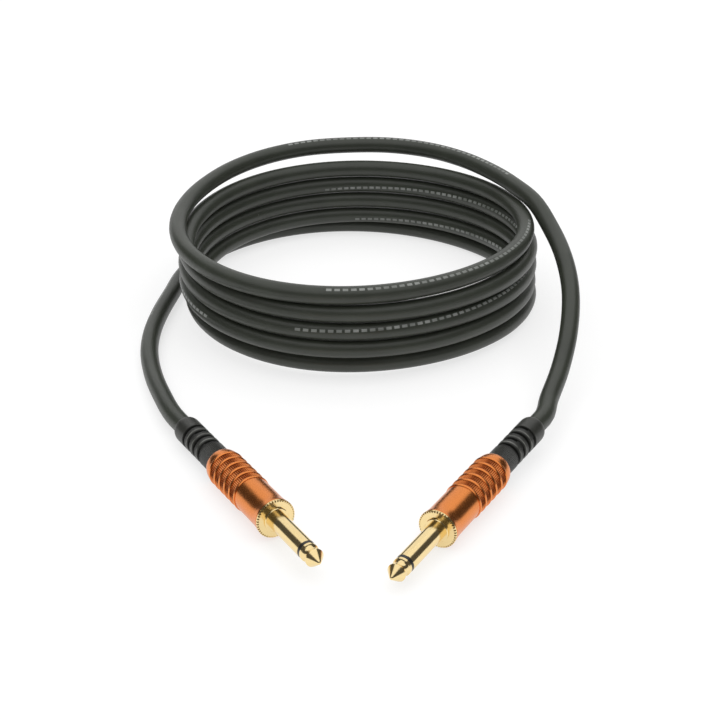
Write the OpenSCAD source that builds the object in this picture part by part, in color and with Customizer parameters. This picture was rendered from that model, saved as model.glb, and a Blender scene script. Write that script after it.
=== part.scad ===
// Instrument cable: one screened cable in a flat coil, with a two-pole
// 6.35 mm plug on each end. Millimetres, +Z up, floor at z = 0.
// The origin is the middle of the footprint of the two plugs.

/* [Plugs on the floor] */
// Width over the rear ends of the two boots
plugs_width = 129.7; // [124:0.1:140]
// Depth from the right plug's tip to the rear end of the left boot
plugs_depth = 93.4; // [90:0.1:104]
// Turn of the left plug from straight ahead, in degrees
left_yaw = 29.6; // [27:0.1:34]
// Turn of the right plug from straight ahead, in degrees
right_yaw = 30.9; // [27:0.1:34]
// How far the left plug's tip is up, in degrees
left_rise = 1.7; // [0:0.1:2]
// How far the right plug's tip is down, in degrees
right_dip = 1.7; // [0:0.1:3]

/* [Plug shaft] */
// Diameter of the shaft
shaft_d = 6.35; // [6.2:0.05:6.5]
// Length from the front face of the flange to the end of the tip
shaft_len = 29.5; // [28:0.1:33]
// Length of the tip contact in front of its insulator
tip_len = 7.7; // [7.4:0.05:9.5]
// Diameter of the tip contact and its insulator
tip_d = 6.3; // [6.1:0.05:6.35]
// Width of the insulator ring
ring_w = 1.3; // [0.8:0.1:1.8]
// Straight land between the insulator ring and the neck
land_w = 0.95; // [0.6:0.05:1.2]
// Width of the neck behind the cone
neck_w = 3; // [2.2:0.1:3.2]
// Diameter at the bottom of the neck
neck_d = 4.6; // [4.2:0.1:5.2]
// Straight shoulder between the neck and the cone
shoulder_w = 0.3; // [0.1:0.05:0.4]
// Radius of the rounded end of the tip
tip_round = 0.8; // [0.2:0.05:1]
// Diameter of the rod that carries the tip through the sleeve
rod_d = 2.5; // [2.2:0.1:2.8]

/* [Flange] */
// Diameter of the flange
flange_d = 13.5; // [13.4:0.1:14.6]
// Thickness of the flange
flange_t = 0.8; // [0.7:0.05:1.2]
// Thickness of its plain rim
rim_t = 0.25; // [0.2:0.05:0.4]
// Width of the bevel round its front face
bevel_w = 0.15; // [0.1:0.05:0.3]
// Number of notches round the flange
notches = 44; // [30:1:50]
// Width of a notch
notch_w = 0.45; // [0.3:0.05:0.55]
// Depth of a notch
notch_depth = 0.6; // [0.4:0.05:0.8]
// Diameter of the boss at the foot of the shaft
boss_d = 8.4; // [7.4:0.1:9.4]
// Height of the boss
boss_h = 0.7; // [0.4:0.1:1]

/* [Sleeve, rear end] */
// Diameter of the thread that takes the shell
thread_d = 11; // [10.8:0.1:11.3]
// Length of the thread
thread_len = 6.2; // [5.6:0.1:7]
// Pitch of the thread
thread_pitch = 1; // [0.75:0.05:1.2]
// Depth of the thread
thread_depth = 0.4; // [0.2:0.05:0.5]
// Diameter of the hub that carries the ground lug
hub_d = 7.4; // [7.2:0.1:7.8]
// Rolled lip on each side that holds the ground lug
lip_h = 0.15; // [0.1:0.05:0.2]
// Length of the rolled lip
lip_w = 0.5; // [0.4:0.1:0.8]
// Bore of the sleeve
sleeve_bore = 3.8; // [3.5:0.1:4.2]
// Diameter of the seat for the rear washer
seat_d = 6; // [5.6:0.1:6.4]
// Depth of the seat for the rear washer
seat_depth = 3; // [2:0.1:3.6]

/* [Lugs and wires] */
// Thickness of the ground lug
ground_t = 0.7; // [0.5:0.05:0.8]
// Diameter of the ground lug's ring
ground_d = 10.2; // [9.8:0.1:10.6]
// Angle round the axis that the ground lug's arm covers
arm_angle = 70; // [50:1:90]
// Length of the arm from the ring to the end of the clamp
arm_len = 18.5; // [17.5:0.1:20]
// Length of the cable clamp
clamp_len = 6; // [4:0.5:7]
// Angle round the cable that the clamp closes
clamp_angle = 290; // [240:5:310]
// Thickness of the rear washer's head
washer_t = 0.6; // [0.4:0.1:0.8]
// Diameter of the rear washer's head
washer_d = 7.2; // [6.6:0.1:7.4]
// Thickness of the tip lug
tip_lug_t = 0.5; // [0.4:0.05:0.6]
// Diameter of the tip lug's ring
tip_lug_d = 5.2; // [4.8:0.1:5.6]
// Width of the tip lug's arm
tip_arm_w = 3; // [2.4:0.1:3.4]
// Length of the tip lug's arm
tip_arm_len = 4.6; // [4.2:0.1:5]
// Hole for the wire in the tip lug's arm
eye_d = 1.3; // [1.1:0.1:1.6]
// Distance from the end of the tip lug's arm to its hole
eye_edge = 1.6; // [1.3:0.1:1.9]
// Diameter of the rivet head on the rod
rivet_d = 3.4; // [3:0.1:3.8]
// Height of the rivet head
rivet_h = 0.5; // [0.3:0.1:0.7]
// Diameter of the insulation round the centre wire
wire_d = 2; // [1.6:0.1:2.2]
// Diameter of the centre wire's bare strands
strand_d = 0.9; // [0.7:0.05:1]
// Diameter of the twisted screen
pigtail_d = 1.5; // [1.2:0.1:1.6]

/* [Shell] */
// Length of the shell
shell_len = 40.7; // [38:0.1:46]
// Diameter of the smooth part
shell_d = 12.6; // [12.2:0.1:13]
// Diameter of the lip at the front
shell_lip_d = 13.4; // [13:0.1:13.5]
// Straight width of the lip
shell_lip_w = 0.6; // [0.4:0.1:1]
// Length of the hollow flare behind the lip
flare_len = 4; // [3:0.5:6]
// Distance from the front face to the first ridge
smooth_len = 16.6; // [14:0.1:18]
// Number of ridges
ridges = 6; // [4:1:6]
// Spacing of the ridges
ridge_pitch = 3.75; // [3:0.05:3.9]
// Width of a ridge
ridge_w = 1.1; // [0.8:0.05:1.3]
// Diameter over the ridges
ridge_d = 13.3; // [13:0.1:13.4]
// Diameter over the knurled bands
knurl_d = 12.8; // [12.7:0.1:13]
// Number of teeth round a knurled band
knurl_teeth = 60; // [40:1:80]
// Depth of the knurling
knurl_depth = 0.2; // [0.1:0.05:0.3]
// Length of the rounded shoulder at the rear
shoulder_len = 4.2; // [3.5:0.1:5]
// Bore behind the thread
shell_bore = 10.3; // [10:0.1:10.5]
// Length of the rim that holds the boot
shell_rim = 2.4; // [1.8:0.1:3]
// Wall of the insulating liner
liner_t = 0.4; // [0.3:0.05:0.45]
// Length of the insulating liner
liner_len = 22; // [20:0.5:26]

/* [Boot] */
// Outer diameter of the boot
boot_d = 9.8; // [9.4:0.1:10.2]
// Diameter of the neck held by the shell's rim
boot_neck_d = 8.6; // [8.2:0.1:9]
// Diameter of the collar inside the shell
boot_collar_d = 10; // [9.6:0.1:10.1]
// Length of the collar inside the shell
boot_collar_w = 2; // [1.5:0.1:3]
// Plain length behind the shell
boot_plain = 7.4; // [6:0.1:9]
// Number of slots along the boot
slots = 4; // [3:1:5]
// Width of a slot
slot_w = 1.4; // [1.2:0.1:2]
// Width of a ring between two slots
ring_len = 2.7; // [2:0.1:3]
// Diameter of a ring's front edge
ring_front_d = 9.3; // [9:0.1:9.5]
// Diameter of the webs that join the rings
web_d = 8.5; // [8.2:0.1:8.8]
// Angle that each web covers
web_angle = 44; // [30:1:60]
// Plain length behind the slots
boot_end = 5.6; // [5:0.1:8]
// Length of the rounded end
boot_nose = 2.5; // [1.5:0.1:3]
// Diameter at the very end
boot_nose_d = 7.8; // [7.6:0.1:8.2]

/* [Cable] */
// Diameter over the jacket
cable_d = 7; // [6.6:0.1:7]
// Diameter over the braided screen
core_d = 4; // [3.6:0.1:4.4]
// Length of screen that shows in front of the jacket
core_bare = 2; // [1:0.1:3]
// Length of wire insulation that shows in front of the screen
wire_bare = 1.4; // [1:0.1:1.8]

/* [Coil] */
// Mean diameter of the coil
coil_d = 140; // [136:1:144]
// Number of turns
turns = 5.25; // [4.25:1:6.25]
// Rise for each turn
coil_pitch = 7.4; // [7.3:0.1:8.4]
// Part of the first turn that lies on the floor
floor_turn = 0.36; // [0.3:0.01:0.36]
// How far out the first turn starts
start_out = 8; // [8:0.5:12]
// Part of a turn over which it comes in
start_fade = 0.55; // [0.55:0.01:0.7]
// How far in the first turn lies at the front
front_in = 3.5; // [0:0.5:5]
// How much lower the first turn lies at the front
front_drop = 0.6; // [0:0.1:0.8]
// How far the top turn lies to the left
top_slide = 3; // [0:0.5:5]
// How far out the top turn ends
end_out = 6.5; // [0:0.5:8]
// How much higher the top turn ends
end_lift = 1.2; // [0:0.1:3]
// Oval shape of the turns
oval = 1; // [-2:0.1:2]
// Three-cornered shape of the turns
trefoil = 1; // [-2:0.1:2]
// Centre of the coil to the right of the origin
coil_x = -1.2; // [-5:0.1:5]
// Centre of the coil behind the origin
coil_y = 159.7; // [155:0.1:175]

/* [Clearances] */
// Gap between the shell's front face and the flange
seat_gap = 0.02; // [0.01:0.01:0.05]
// Radial clearance of the thread
thread_clear = 0.05; // [0.02:0.01:0.08]
// Radial clearance of the boot's neck in the shell's rim
neck_clear = 0.05; // [0.02:0.01:0.08]
// Radial clearance of the cable in the boot
boot_clear = 0.07; // [0.03:0.01:0.1]
// Radial clearance of the cable in the clamp
clamp_clear = 0.02; // [0.01:0.01:0.05]
// Clearance between the rolled lip and the ground lug's arm
lip_clear = 0.05; // [0.02:0.01:0.1]
// Radial clearance of the screen in the jacket
core_clear = 0.2; // [0.15:0.05:0.3]

/* [Hidden] */
$fn = 96;
EPS = 0.1;

// Stations along a plug's axis, counted from the joint between the flange
// and the shell: towards the tip is positive, towards the cable negative.
boss_end = flange_t + boss_h;
tip_end = flange_t + shaft_len;
tip_foot = tip_end - tip_len;
sleeve_end = tip_foot - ring_w;
seat_bottom = -thread_len - ground_t - lip_w + seat_depth;
hub_end = -thread_len - ground_t - lip_w;
washer_end = hub_end - washer_t;
tip_lug_end = washer_end - tip_lug_t;
tip_arm_end = tip_lug_end - tip_arm_len;
eye_at = tip_arm_end + eye_edge;
ground_back = -thread_len - ground_t;
clamp_end = ground_back - arm_len;
clamp_start = clamp_end + clamp_len;
wire_end = eye_at - strand_d;
core_end = wire_end - wire_bare;
jacket_end = core_end - core_bare;
thread_room = thread_len + thread_pitch;
liner_start = -thread_room - 1;
ridges_end = -smooth_len - (ridges - 1) * ridge_pitch - ridge_w;
shell_end = -shell_len;
rim_front = shell_end + shell_rim;
boot_front = rim_front - seat_gap + boot_collar_w;
boot_step = shell_end - seat_gap;
slots_start = boot_step - boot_plain;
slots_end = slots_start - slots * slot_w - (slots - 1) * ring_len;
nose_start = slots_end - boot_end;
boot_tail = nose_start - boot_nose;

// Corner radius of a regular polygon with n sides and the area of a circle
function corner_r(d, n) = d / 2 * sqrt(2 * PI / (n * sin(360 / n)));
TAIL_SIDES = 12;
CORE_SIDES = 6;
tail_r = corner_r(cable_d, TAIL_SIDES);
coil_r = cable_d / 2 * 1.05;
core_r = corner_r(core_d, CORE_SIDES);
bore_r = core_r + core_clear;
boot_bore_r = tail_r + boot_clear;
lug_r = hub_d / 2 + lip_h + lip_clear;

// Points on an arc: centre [r, s], radius, first and last angle
function arc(c, r, from, to, n = 8) =
    [for (i = [0:n]) let (a = from + (to - from) * i / n) c + r * [cos(a), sin(a)]];

// Largest reach of a profile of [r, s] points in a direction; along is the
// share of the profile's axis in that direction
function reach(profile, along) = max([for (p = profile) p[1] * along + p[0] * sqrt(1 - along * along)]);

// ---- Profiles, as [radius, station] points ----

cone_c = tip_end - tip_round;
cone_foot = tip_foot + land_w + neck_w + shoulder_w;
cone_angle = atan2(tip_d / 2, cone_c - cone_foot)
    - asin(tip_round / norm([tip_d / 2, cone_c - cone_foot]));
neck_sag = (tip_d - neck_d) / 2;
neck_r = (pow(neck_w / 2, 2) + pow(neck_sag, 2)) / (2 * neck_sag);
neck_half = asin(neck_w / 2 / neck_r);
neck_c = [neck_d / 2 + neck_r, tip_foot + land_w + neck_w / 2];

tip_nose = concat([[tip_d / 2, cone_foot]], arc([0, cone_c], tip_round, cone_angle, 90, 6));
tip_profile = concat(
    [[0, tip_lug_end - rivet_h], [rivet_d / 2 - 0.2, tip_lug_end - rivet_h]],
    [[rivet_d / 2, tip_lug_end - rivet_h / 2], [rivet_d / 2, tip_lug_end]],
    [[rod_d / 2, tip_lug_end], [rod_d / 2, tip_foot], [tip_d / 2, tip_foot]],
    arc(neck_c, neck_r, 180 + neck_half, 180 - neck_half, 10),
    tip_nose);

boot_nose_points = arc([0, 0], 1, 0, 90, 6);
boot_end_profile = concat([[boot_d / 2, nose_start]],
    [for (p = boot_nose_points)
        [boot_nose_d / 2 + (boot_d - boot_nose_d) / 2 * p[0], nose_start - boot_nose * p[1]]]);

// What can touch the floor: the flange, the last ridge and the boot
floor_points = [[flange_d / 2, rim_t], [ridge_d / 2, ridges_end + ridge_w / 2], [boot_d / 2, nose_start]];

// ---- Where the plugs lie: [joint between flange and shell, yaw, dip] ----

// Direction of a plug's tip
function axis(yaw, dip) = [cos(dip) * sin(yaw), -cos(dip) * cos(yaw), -sin(dip)];
left_axis = axis(left_yaw, -left_rise);
right_axis = axis(-right_yaw, right_dip);
left = [[reach(boot_end_profile, -left_axis[0]) - plugs_width / 2,
    plugs_depth / 2 - reach(boot_end_profile, left_axis[1]),
    reach(floor_points, -left_axis[2])], left_yaw, -left_rise];
right = [[plugs_width / 2 - reach(boot_end_profile, right_axis[0]),
    reach(tip_nose, -right_axis[1]) - plugs_depth / 2,
    reach(floor_points, -right_axis[2])], -right_yaw, right_dip];

module at_plug(p) translate(p[0]) rotate([90 + p[2], 0, p[1]]) children();

// A point on a plug's axis
function on_axis(p, s) = p[0] + s * axis(p[1], p[2]);

// ---- The cable's route ----

// Points of the left free stretch, from the plug to the coil
LEFT_ROUTE = [[-72.5, 70.5, 4.6], [-78.2, 90, 3.7], [-81.5, 108, 3.5], [-82.2, 124, 3.5],
    [-81.2, 139, 3.5]];
// Points of the right free stretch, from the coil to the plug
RIGHT_ROUTE = [[13, 236, 40.9], [30, 230, 41], [45, 218, 41.2], [56.5, 203.5, 41.1],
    [65.5, 187, 41], [72.5, 174, 39.3], [78.3, 157, 34.2], [81.5, 138.5, 30.2],
    [82.3, 118, 24.9], [79.5, 96, 17.8], [74.3, 76, 12.2], [68.5, 58, 9.8]];

// Eased step from 0 at x = 0 to 1 at x = 1
function ease(x) = let (u = min(1, max(0, x))) u * u * (3 - 2 * u);
// How much of the first turn's low front is there, t turns from the start
function low_front(t) = ease((t - 0.5) / 0.25) - ease((t - 0.75) / 0.5);

// Centreline of the coil, t turns from its start, rising clockwise seen from above
function coil_point(t) =
    let (a = 180 - 360 * t,
        r = coil_d / 2 + oval * sin(2 * a) + trefoil * cos(3 * a)
            + start_out * max(0, 1 - t / start_fade) - front_in * low_front(t)
            + end_out * ease((t - turns + 0.2) / 0.2),
        slide = top_slide * ease((t - turns + 1) / 0.5),
        z = cable_d / 2 + coil_pitch * max(0, t - floor_turn) - front_drop * low_front(t)
            + end_lift * ease((t - turns + 0.25) / 0.25))
    [coil_x + r * cos(a) - slide, coil_y + r * sin(a), z];

function unit(v) = v / norm(v);
LOOP_RINGS = 24;
coil_in = unit(coil_point(0.01) - coil_point(0));
coil_out = unit(coil_point(turns) - coil_point(turns - 0.01));
coil_route = concat([coil_point(0) - cable_d * coil_in],
    [for (i = [0:turns * LOOP_RINGS]) coil_point(i / LOOP_RINGS)],
    [coil_point(turns) + cable_d * coil_out]);

// The straight stretch of the cable inside a plug and behind its boot
straight_end = boot_tail - thread_room;
STRAIGHT_STEPS = 4;
function straight(p) = concat([on_axis(p, core_end)], [for (i = [0:STRAIGHT_STEPS])
    on_axis(p, jacket_end + (straight_end - jacket_end) * i / STRAIGHT_STEPS)]);
function reversed(list) = [for (i = [len(list) - 1:-1:0]) list[i]];

route = concat(straight(left), LEFT_ROUTE, coil_route, RIGHT_ROUTE, reversed(straight(right)));
last = len(route) - 1;
coil_first = len(straight(left)) + len(LEFT_ROUTE);
coil_last = coil_first + len(coil_route) - 1;

// Direction of the cable at each point of the route
function heading(i) = i == 0 || i == coil_first ? unit(route[i + 1] - route[i])
    : i == last || i == coil_last ? unit(route[i] - route[i - 1])
    : unit(route[i + 1] - route[i - 1]);

// Corners of a cross-section square to the route, with a flat side down
function ring(i, r, n) =
    let (side = unit(cross(heading(i), [0, 0, 1])), lift = cross(side, heading(i)),
        first = n == CORE_SIDES ? 0 : 180 / n)
    [for (k = [0:n - 1]) let (a = first + 360 * k / n)
        route[i] + r * (cos(a) * side + sin(a) * lift)];

// Triangles between rings of n points, the first point having the number base
function wall(rings, n, base) = [for (i = [0:rings - 2], k = [0:n - 1])
    let (a = base + i * n + k, b = base + i * n + (k + 1) % n)
        each [[a, b + n, b], [a, a + n, b + n]]];
function flipped(faces) = [for (f = faces) [f[0], f[2], f[1]]];
// Flat end between an outer ring of n points and an inner ring of CORE_SIDES points
function end_face(outer, n, inner) =
    let (m = n / CORE_SIDES)
    [for (k = [0:CORE_SIDES - 1]) each concat(
        [for (j = [1 - m:0]) [inner + k, outer + (m * k + j + n) % n, outer + (m * k + j + 1) % n]],
        [[inner + k, outer + (m * k + 1) % n, inner + (k + 1) % CORE_SIDES]])];

// Hollow tube along the route from ring a to ring b
module jacket(a, b, r, n) {
    rings = b - a + 1;
    inner = rings * n;
    points = concat([for (i = [a:b]) each ring(i, r, n)],
        [for (i = [a:b]) each ring(i, bore_r, CORE_SIDES)]);
    polyhedron(points, concat(wall(rings, n, 0), flipped(wall(rings, CORE_SIDES, inner)),
        end_face(0, n, inner),
        flipped(end_face((rings - 1) * n, n, inner + (rings - 1) * CORE_SIDES))));
}

// ---- The sub-parts of a plug ----

module revolve(profile) rotate_extrude() polygon(profile);

// Ring between two radii and two stations
module band(r_in, r_out, from, to)
    translate([0, 0, from]) difference() {
        cylinder(h = to - from, r = r_out);
        translate([0, 0, -EPS]) cylinder(h = to - from + 2 * EPS, r = r_in);
    }

// Part of a ring, centred on the angle at
module sector(r_in, r_out, from, to, angle, at)
    translate([0, 0, from]) rotate([0, 0, at - angle / 2])
        rotate_extrude(angle = angle) translate([r_in, 0]) square([r_out - r_in, to - from]);

// Gear-like outline of a knurl
module toothed(r, tooth, n)
    polygon([for (i = [0:2 * n - 1]) (i % 2 == 0 ? r : r - tooth) * [cos(180 * i / n), sin(180 * i / n)]]);

// Male thread drawn as rings, from the joint backwards
thread_turns = floor((thread_len - 0.4) / thread_pitch);
thread_profile = [for (i = [0:thread_turns - 1]) let (s = -0.4 - i * thread_pitch)
    each [[thread_d / 2, s], [thread_d / 2 - thread_depth, s - thread_pitch / 2],
        [thread_d / 2, s - thread_pitch]]];

module tip_contact() color("gold") revolve(tip_profile);

module tip_insulator() color("black") {
    band(rod_d / 2, tip_d / 2, sleeve_end, tip_foot);
    band(rod_d / 2, sleeve_bore / 2, seat_bottom, sleeve_end + EPS);
}

module sleeve() color("gold") difference() {
    revolve(concat(
        [[sleeve_bore / 2, sleeve_end], [shaft_d / 2 - 0.1, sleeve_end], [shaft_d / 2, sleeve_end - 0.1]],
        [[shaft_d / 2, boss_end], [boss_d / 2 - 0.2, boss_end], [boss_d / 2, boss_end - 0.2]],
        [[boss_d / 2, flange_t], [flange_d / 2 - bevel_w, flange_t], [flange_d / 2, flange_t - bevel_w]],
        [[flange_d / 2, 0], [thread_d / 2, 0]],
        thread_profile,
        [[thread_d / 2, -thread_len], [hub_d / 2, -thread_len], [hub_d / 2, ground_back]],
        [[hub_d / 2 + lip_h, ground_back], [hub_d / 2 + lip_h, hub_end], [seat_d / 2, hub_end]],
        [[seat_d / 2, seat_bottom], [sleeve_bore / 2, seat_bottom]]));
    for (i = [0:notches - 1]) rotate([0, 0, 360 * i / notches])
        translate([flange_d / 2 - notch_depth, -notch_w / 2, rim_t]) cube([notch_depth + EPS, notch_w, flange_t]);
}

module rear_washer() color("saddlebrown") {
    band(rod_d / 2, seat_d / 2, hub_end - EPS, seat_bottom);
    band(rod_d / 2, washer_d / 2, washer_end, hub_end);
}

module tip_lug() color("silver") {
    band(rod_d / 2, tip_lug_d / 2, tip_lug_end, washer_end);
    difference() {
        translate([-tip_arm_w / 2, tip_lug_d / 2 - tip_lug_t, tip_arm_end])
            cube([tip_arm_w, tip_lug_t, tip_arm_len + tip_lug_t / 2]);
        translate([0, tip_lug_d / 2 + EPS, eye_at])
            rotate([90, 0, 0]) cylinder(h = tip_lug_t + 2 * EPS, d = eye_d);
    }
}

module ground_lug() color("silver") {
    band(hub_d / 2, ground_d / 2, ground_back, -thread_len);
    sector(lug_r, lug_r + ground_t, clamp_end, ground_back + EPS, arm_angle, 270);
    sector(tail_r + clamp_clear, tail_r + clamp_clear + ground_t, clamp_end, clamp_start, clamp_angle, 270);
}

module wire_insulation() color("white")
    translate([0, 0, core_end]) cylinder(h = wire_end - core_end, d = wire_d);

// Bare strands: out of the insulation, bent up and through the lug's hole
strand_top = tip_lug_d / 2 + 0.4;
module wire_strands() color("peru") {
    translate([0, 0, wire_end]) cylinder(h = eye_at - wire_end, d = strand_d);
    translate([0, 0, eye_at]) sphere(d = strand_d * 1.15);
    translate([0, strand_top, eye_at]) rotate([90, 0, 0]) cylinder(h = strand_top, d = strand_d);
}

// The screen's strands, twisted and laid along the ground lug
pigtail_y = -lug_r + pigtail_d / 2 + 0.05;
pigtail_front = jacket_end + 6;
module screen_pigtail() color("peru")
    translate([0, pigtail_y, jacket_end]) {
        cylinder(h = pigtail_front - jacket_end - pigtail_d / 2, d = pigtail_d);
        translate([0, 0, pigtail_front - jacket_end - pigtail_d / 2]) sphere(d = pigtail_d);
    }

solder_d = 2.8;
module solder() color("lightgray") {
    difference() {
        translate([0, tip_lug_d / 2 - 0.2, eye_at]) sphere(d = tip_arm_w - 0.4);
        translate([-5, tip_lug_d / 2 - 5, eye_at - 5]) cube([10, 5, 10]);
        translate([0, strand_top, eye_at]) rotate([90, 0, 0]) cylinder(h = 5, d = strand_d);
    }
    difference() {
        intersection() {
            translate([0, pigtail_y, pigtail_front - 2]) sphere(d = solder_d);
            translate([0, 0, pigtail_front - 2 - solder_d]) cylinder(h = 2 * solder_d, r = lug_r);
        }
        translate([0, pigtail_y, pigtail_front - 2 - solder_d])
            cylinder(h = solder_d + 2 - pigtail_d / 2, d = pigtail_d);
        translate([0, pigtail_y, pigtail_front - pigtail_d / 2]) sphere(d = pigtail_d);
    }
}

module liner() color("white")
    band(shell_bore / 2 - liner_t, shell_bore / 2, liner_start - liner_len, liner_start);

// Hollow flare behind the lip, then the smooth barrel
flare_h = (shell_lip_d - shell_d) / 2;
flare_points = [for (i = [0:8])
    [shell_d / 2 + flare_h * pow(1 - i / 8, 2), -shell_lip_w - seat_gap - flare_len * i / 8]];
knurl_core_r = knurl_d / 2 - 0.3;
ridge_foot_r = knurl_d / 2 + 0.05;
RIDGE_STEPS = 6;
ridge_points = [for (i = [0:ridges - 1]) let (s = -smooth_len - i * ridge_pitch)
    each concat([[knurl_core_r, s]],
        [for (j = [0:RIDGE_STEPS]) let (u = j / RIDGE_STEPS)
            [ridge_foot_r + (ridge_d / 2 - ridge_foot_r) * sin(180 * u), s - ridge_w * u]],
        [[knurl_core_r, s - ridge_w]])];
shoulder_start = shell_end + shoulder_len;
shoulder_points = [for (i = [0:10]) let (a = 9 * i)
    [boot_d / 2 + (knurl_d - boot_d) / 2 * cos(a), shoulder_start - shoulder_len * sin(a)]];
mouth_r = thread_d / 2 + thread_clear;
rim_r = boot_neck_d / 2 + neck_clear;

module shell() color("chocolate") {
    revolve(concat(
        [[mouth_r + 0.3, -seat_gap], [shell_lip_d / 2 - 0.15, -seat_gap], [shell_lip_d / 2, -seat_gap - 0.15]],
        flare_points, [[shell_d / 2, -smooth_len]],
        ridge_points,
        [[knurl_d / 2, ridges_end]],
        shoulder_points,
        [[rim_r, shell_end], [rim_r, rim_front], [shell_bore / 2, rim_front]],
        [[shell_bore / 2, -thread_room], [mouth_r, -thread_room], [mouth_r, -seat_gap - 0.3]]));
    for (i = [0:ridges - 2])
        translate([0, 0, -smooth_len - (i + 1) * ridge_pitch - EPS / 2])
            linear_extrude(ridge_pitch - ridge_w + EPS) difference() {
                toothed(knurl_d / 2, knurl_depth, knurl_teeth);
                circle(knurl_d / 2 - 0.5);
            }
}

// Each slot down to the webs, then the ring behind it, wider towards its rear edge
slot_points = [for (i = [0:slots - 1]) let (s = slots_start - i * (slot_w + ring_len))
    each concat([[boot_d / 2, s + 0.2], [boot_d / 2 - 0.2, s], [web_d / 2, s], [web_d / 2, s - slot_w]],
        i < slots - 1 ? [[ring_front_d / 2, s - slot_w], [boot_d / 2, s - slot_w - ring_len / 2]]
            : [[boot_d / 2 - 0.2, s - slot_w], [boot_d / 2, s - slot_w - 0.2]])];

module boot() color("dimgray") difference() {
    revolve(concat(
        [[boot_bore_r, boot_front], [boot_collar_d / 2 - 0.4, boot_front]],
        [[boot_collar_d / 2, boot_front - 0.4], [boot_collar_d / 2, rim_front + seat_gap]],
        [[boot_neck_d / 2, rim_front + seat_gap], [boot_neck_d / 2, boot_step]],
        [[boot_d / 2, boot_step]],
        slot_points,
        boot_end_profile,
        [[boot_bore_r, boot_tail]]));
    for (i = [0:slots - 1], side = [0, 180])
        sector(boot_bore_r - EPS, boot_d / 2 + EPS,
            slots_start - i * (slot_w + ring_len) - slot_w, slots_start - i * (slot_w + ring_len),
            180 - web_angle, 45 + 90 * i + side);
}

// ---- The cable ----

module left_tail_jacket() color("dimgray") jacket(1, coil_first, tail_r, TAIL_SIDES);
module coil_jacket() color("dimgray") jacket(coil_first, coil_last, coil_r, CORE_SIDES);
module right_tail_jacket() color("dimgray") jacket(coil_last, last - 1, tail_r, TAIL_SIDES);

module screened_core() color("peru") {
    n = CORE_SIDES;
    polyhedron([for (i = [0:last]) each ring(i, core_r, n)],
        concat(wall(last + 1, n, 0), [for (k = [1:n - 2]) [0, k, k + 1]],
            [for (k = [1:n - 2]) [last * n, last * n + k + 1, last * n + k]]));
}

// ---- What the source measures and prints ----

cable_len = sum_len(0, last);
function sum_len(a, b) = b - a == 1 ? norm(route[b] - route[a])
    : let (m = floor((a + b) / 2)) sum_len(a, m) + sum_len(m, b);
echo(str("cable length, mm: ", round(cable_len), ", left free stretch ",
    round(sum_len(len(straight(left)) - 1, coil_first)), ", coil ",
    round(sum_len(coil_first, coil_last)), ", right free stretch ",
    round(sum_len(coil_last, last - len(straight(right)) + 1))));

// Points round the outline of ring i, four to a side
function outline(i) = let (c = ring(i, coil_r, CORE_SIDES))
    [for (k = [0:CORE_SIDES - 1], j = [0:3])
        c[k] + (c[(k + 1) % CORE_SIDES] - c[k]) * j / 4];
function least(a, b) = min([for (p = a, q = b) norm(p - q)]);
coil_gap = min([for (i = [coil_first:coil_last - LOOP_RINGS + 1], j = [-1:1])
    if (i + LOOP_RINGS + j <= coil_last) least(outline(i), outline(i + LOOP_RINGS + j))]);
echo(str("least gap of the coil to itself, mm: ", coil_gap));

// ---- Nodes ----

at_plug(left) tip_contact();  // left_tip_contact
at_plug(left) tip_insulator();  // left_tip_insulator
at_plug(left) sleeve();  // left_sleeve
at_plug(left) rear_washer();  // left_rear_washer
at_plug(left) tip_lug();  // left_tip_lug
at_plug(left) ground_lug();  // left_ground_lug
at_plug(left) wire_insulation();  // left_wire_insulation
at_plug(left) wire_strands();  // left_wire_strands
at_plug(left) screen_pigtail();  // left_screen_pigtail
at_plug(left) solder();  // left_solder
at_plug(left) liner();  // left_liner
at_plug(left) shell();  // left_shell
at_plug(left) boot();  // left_boot
at_plug(right) tip_contact();  // right_tip_contact
at_plug(right) tip_insulator();  // right_tip_insulator
at_plug(right) sleeve();  // right_sleeve
at_plug(right) rear_washer();  // right_rear_washer
at_plug(right) tip_lug();  // right_tip_lug
at_plug(right) ground_lug();  // right_ground_lug
at_plug(right) wire_insulation();  // right_wire_insulation
at_plug(right) wire_strands();  // right_wire_strands
at_plug(right) screen_pigtail();  // right_screen_pigtail
at_plug(right) solder();  // right_solder
at_plug(right) liner();  // right_liner
at_plug(right) shell();  // right_shell
at_plug(right) boot();  // right_boot
left_tail_jacket();
coil_jacket();
right_tail_jacket();
screened_core();
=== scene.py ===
"""Looks of the instrument cable: one coiled cable with a two-pole plug on each end.
Metres, +Z up, floor at z = 0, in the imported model's own frame."""

import math

import bpy
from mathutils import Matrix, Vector


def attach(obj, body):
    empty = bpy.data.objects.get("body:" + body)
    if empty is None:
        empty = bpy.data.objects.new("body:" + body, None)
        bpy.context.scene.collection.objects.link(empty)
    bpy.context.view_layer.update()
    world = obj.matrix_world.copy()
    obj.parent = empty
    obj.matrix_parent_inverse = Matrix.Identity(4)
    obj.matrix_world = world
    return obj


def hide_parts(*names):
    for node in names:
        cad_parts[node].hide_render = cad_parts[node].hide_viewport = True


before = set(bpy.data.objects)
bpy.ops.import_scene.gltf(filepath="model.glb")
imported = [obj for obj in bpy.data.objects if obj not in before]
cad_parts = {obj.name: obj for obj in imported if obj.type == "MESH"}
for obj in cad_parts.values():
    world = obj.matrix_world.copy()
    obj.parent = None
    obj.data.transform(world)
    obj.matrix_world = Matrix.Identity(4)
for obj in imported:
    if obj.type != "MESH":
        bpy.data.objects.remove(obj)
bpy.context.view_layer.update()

bl_info = {
    "name": "Instrument Cable",
    "version": (1, 0, 0),
    "blender": (4, 5, 0),
    "location": "View3D > Sidebar > Cable",
    "description": "Dresses an instrument cable and its two plugs",
    "category": "Object",
}

MM = 0.001
ROOT = "cable_and_plugs"
SIDES = ("left", "right")

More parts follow.
